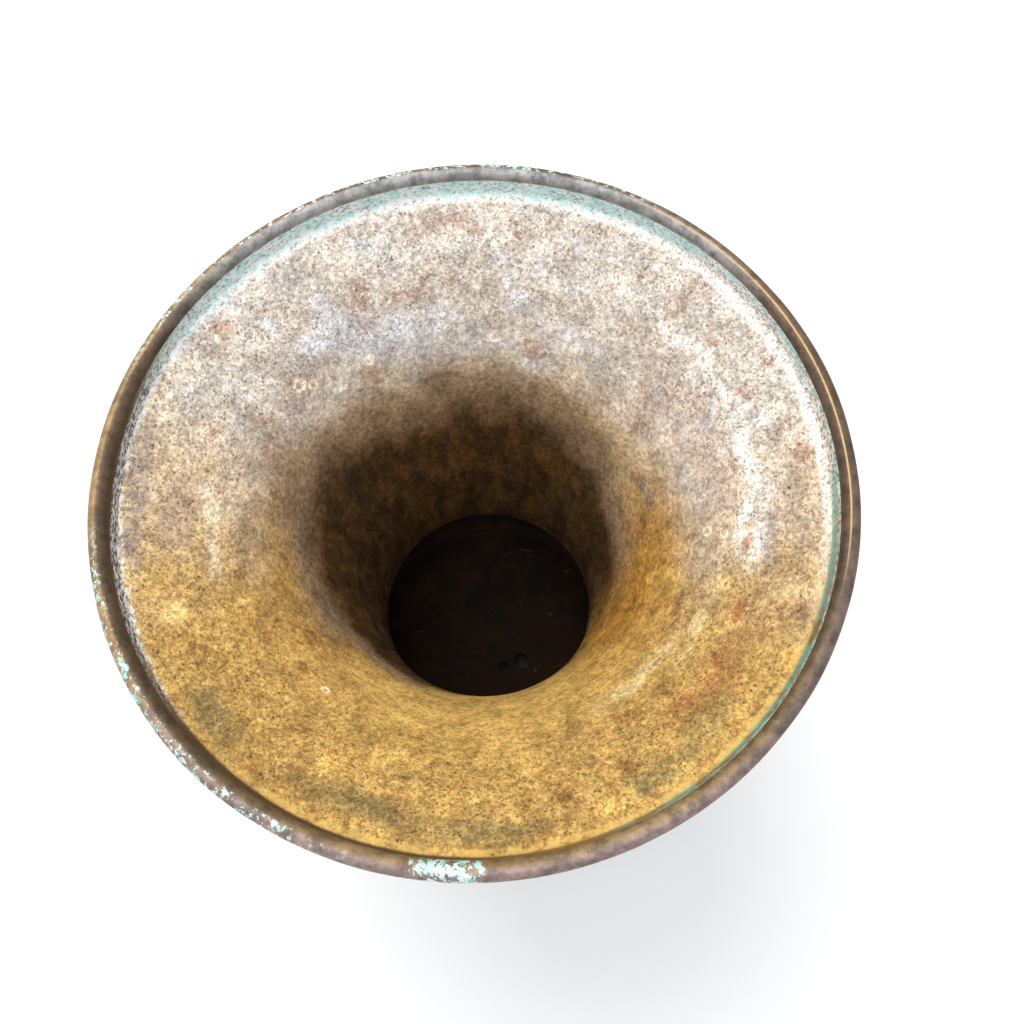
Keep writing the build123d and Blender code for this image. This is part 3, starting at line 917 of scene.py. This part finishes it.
# The foot ring's section: widths at its top and sole, the cove outside, the slope inside
FOOT_TOP_WIDTH = 6.5 * MM
FOOT_SOLE_WIDTH = 7.0 * MM
COVE_TOP = (FOOT_STEP - 1.2 * MM, 8.6 * MM)
COVE_FOOT = (FOOT_RADIUS, 3.2 * MM)
COVE_DEPTH = 1.3 * MM
COVE_MIDDLE = 5.0 * MM
SLOPE_FOOT = 1.8 * MM
SLOPE_TOP = 7.0 * MM
INNER_WALL_MIDDLE = 9 * MM


def foot_ring():
    """The cast ring that the pot stands on, with a cove between its fillets."""
    top = LEDGE_HEIGHT - SEAM_GAP
    inner_top, inner_foot = FOOT_STEP - FOOT_TOP_WIDTH, FOOT_RADIUS - FOOT_SOLE_WIDTH
    hollow = (0.5 * (COVE_TOP[0] + COVE_FOOT[0]) - COVE_DEPTH, COVE_MIDDLE)
    cove = bezier([COVE_TOP, (COVE_TOP[0], hollow[1]), hollow, COVE_FOOT], 10)
    corners = [
        (inner_top, INNER_WALL_MIDDLE),
        (inner_top, top),
        (FOOT_STEP, top),
        (FOOT_STEP, COVE_TOP[1]),
        *cove,
        (FOOT_RADIUS, 0),
        (inner_foot, 0),
        (inner_foot, SLOPE_FOOT),
        (inner_top, SLOPE_TOP),
        (inner_top, INNER_WALL_MIDDLE),
    ]
    return lathe("foot", [(rounded(corners, FOOT_EASE, 2), 0)], BODY_SEGMENTS)


# How far out a braze fillet's hollow face stays, as a part of its legs
BRAZE_HOLLOW = 0.42


def braze_bead(name, corner, across, up):
    """A lumpy fillet of brazing metal in the corner of a wall and a ledge."""
    foot, top = (corner[0] + across, corner[1]), (corner[0], corner[1] + up)
    hollow = (corner[0] + BRAZE_HOLLOW * across, corner[1] + BRAZE_HOLLOW * up)
    face = bezier([foot, hollow, hollow, top], 5)
    edges = [(face, 0), (line(top, corner, 2), 0), (line(corner, foot, 2), 0)]
    return lathe(name, edges, BRAZE_SEGMENTS, hammered(*BRAZE_DENTS))


# ---------------------------------------------------------------- stage

FLOOR_REACH = 12.0
FLOOR_PALE = (0.88, 0.88, 0.88)
# Painted shadow on the floor under the pot, and the radii in mm over which it fades out
UNDER_POT_SHADOW = (0.02, 0.018, 0.015)
UNDER_POT_SHADOW_EDGE = (74.0, 76.0)

SKY_STRENGTH = 0.70
SKY_COLOUR = (0.95, 0.98, 1.0)

# (name, azimuth, elevation, distance, width, watts, colour)
LIGHTS = [
    ("key", 118, 64, 1.8, 1.3, 27, (1.0, 0.96, 0.90)),
    ("overhead", 262, 70, 1.5, 0.9, 12, (0.92, 0.96, 1.0)),
]

# The camera, in rim radii from the middle of the mouth: a phone held over the near side
CAMERA_TARGET = (0.097, -0.115)
CAMERA_DISTANCE = 2.55
CAMERA_ELEVATION = 68.7
CAMERA_ROLL = -1.3
HALF_WIDTH_PER_FOCAL_LENGTH = 0.512
NEAREST_SEEN = 0.01


def floor():
    """A wide pale floor, with a painted shadow under the foot where it can't be seen from outside.
    """
    mesh = bpy.data.meshes.new("floor")
    low, high = -FLOOR_REACH, FLOOR_REACH
    corners = [(low, low, 0), (high, low, 0), (high, high, 0), (low, high, 0)]
    mesh.from_pydata(corners, [], [(0, 1, 2, 3)])
    made = bpy.data.objects.new("floor", mesh)
    bpy.context.scene.collection.objects.link(made)
    t = Tree("pale_floor")
    colour = t.mix(t.step(t.radius, *UNDER_POT_SHADOW_EDGE), UNDER_POT_SHADOW, FLOOR_PALE)
    mesh.materials.append(t.done(colour, 0.85, t.bump(t.noise(1.0), 0.01)))


def softbox(name, azimuth, elevation, distance, width, watts, colour):
    """An area light that shines at the mouth from a compass angle and a height angle."""
    turn, rise = math.radians(azimuth), math.radians(elevation)
    away = Vector(
        (math.cos(turn) * math.cos(rise), math.sin(turn) * math.cos(rise), math.sin(rise))
    )
    data = bpy.data.lights.new(name, "AREA")
    data.shape = "DISK"
    data.size = width
    data.energy = watts
    data.color = colour
    made = bpy.data.objects.new(name, data)
    made.location = Vector((0, 0, HEIGHT)) + away * distance
    made.rotation_euler = away.to_track_quat("Z", "Y").to_euler()
    bpy.context.scene.collection.objects.link(made)


def sky():
    """A plain, even sky that fills in the shadows."""
    world = bpy.data.worlds.new("studio")
    world.use_nodes = True
    node = world.node_tree.nodes["Background"]
    node.inputs["Color"].default_value = (*SKY_COLOUR, 1)
    node.inputs["Strength"].default_value = SKY_STRENGTH
    bpy.context.scene.world = world


def camera():
    """The photograph's viewpoint: looking down into the mouth from the near side."""
    rise, roll = math.radians(CAMERA_ELEVATION), math.radians(CAMERA_ROLL)
    back = Vector((0, -math.cos(rise), math.sin(rise)))
    right = Vector((1, 0, 0))
    up = back.cross(right)
    target = Vector((CAMERA_TARGET[0] * RIM_RADIUS, CAMERA_TARGET[1] * RIM_RADIUS, HEIGHT))
    across = right * math.cos(roll) + up * math.sin(roll)
    upright = -right * math.sin(roll) + up * math.cos(roll)
    data = bpy.data.cameras.new("camera")
    data.angle = 2 * math.atan(HALF_WIDTH_PER_FOCAL_LENGTH)
    data.clip_start = NEAREST_SEEN
    made = bpy.data.objects.new("camera", data)
    turn = Matrix((across, upright, back)).transposed().to_4x4()
    made.matrix_world = (
        Matrix.Translation(target + back * CAMERA_DISTANCE * RIM_RADIUS) @ turn
    )
    bpy.context.scene.collection.objects.link(made)
    bpy.context.scene.camera = made


# ---------------------------------------------------------------- the pot, put together

BODY_PATINA = brown_patina("body_patina", BODY_CRESTS, BODY_SEAMS)
TRUMPET_PATINA_AND_LIGHT = brown_patina("trumpet_patina_and_light", [], TRUMPET_SEAMS)
RING_PATINA = brown_patina("ring_patina", RING_CRESTS, RING_SEAMS)
BODY_INSIDE = inside_of_body()
FLOOR_PATINA_AND_SHADE = floor_patina_and_shade()
BRAZE = braze_metal()

finish_piece(mouth_trumpet(), "mouth_trumpet", "brass_trumpet", inside_patina_and_light(), TRUMPET_PATINA_AND_LIGHT)
finish_piece(shoulder_shell(), "shoulder_shell", "brass_body", BODY_PATINA, BODY_INSIDE)
finish_piece(lower_bowl(), "lower_bowl", "brass_body", BODY_PATINA, BODY_INSIDE)
collar = moulding("neck_moulding", "neck_ring", COLLAR_OUTSIDE + SEAM_GAP, NECK_FILLET)
finish_piece(collar, "neck_ring", "brass_mouldings", RING_PATINA)
band = moulding("belly_moulding", "belly_band", BELLY_RADIUS + SEAM_GAP, BELLY_FILLET)
finish_piece(band, "belly_band", "brass_mouldings", RING_PATINA)
finish_piece(foot_ring(), "foot_ring", "brass_mouldings", RING_PATINA)

# Braze fillets by CAD node: (corner, leg across, leg up)
BRAZE_FILLETS = {
    "neck_braze": ((NECK_RADIUS + MOUTH_SHEET, COLLAR_TOP), 1.45 * MM, 2.4 * MM),
    "belly_braze": ((LAP_OUTSIDE, LAP_TOP), -1.4 * MM, 1.6 * MM),
    "foot_braze": ((FOOT_STEP, LEDGE_HEIGHT - SEAM_GAP), 1.4 * MM, -1.9 * MM),
}
for node, (corner, across, up) in BRAZE_FILLETS.items():
    finish_piece(braze_bead(f"{node}_bead", corner, across, up), node, "braze", BRAZE)

repaint("base_disc", FLOOR_PATINA_AND_SHADE)
repaint("base_braze", FLOOR_PATINA_AND_SHADE)
repaint("rim_wire", BRAZE)

floor()
sky()
for light in LIGHTS:
    softbox(*light)
camera()
bpy.context.scene.view_settings.view_transform = "Standard"
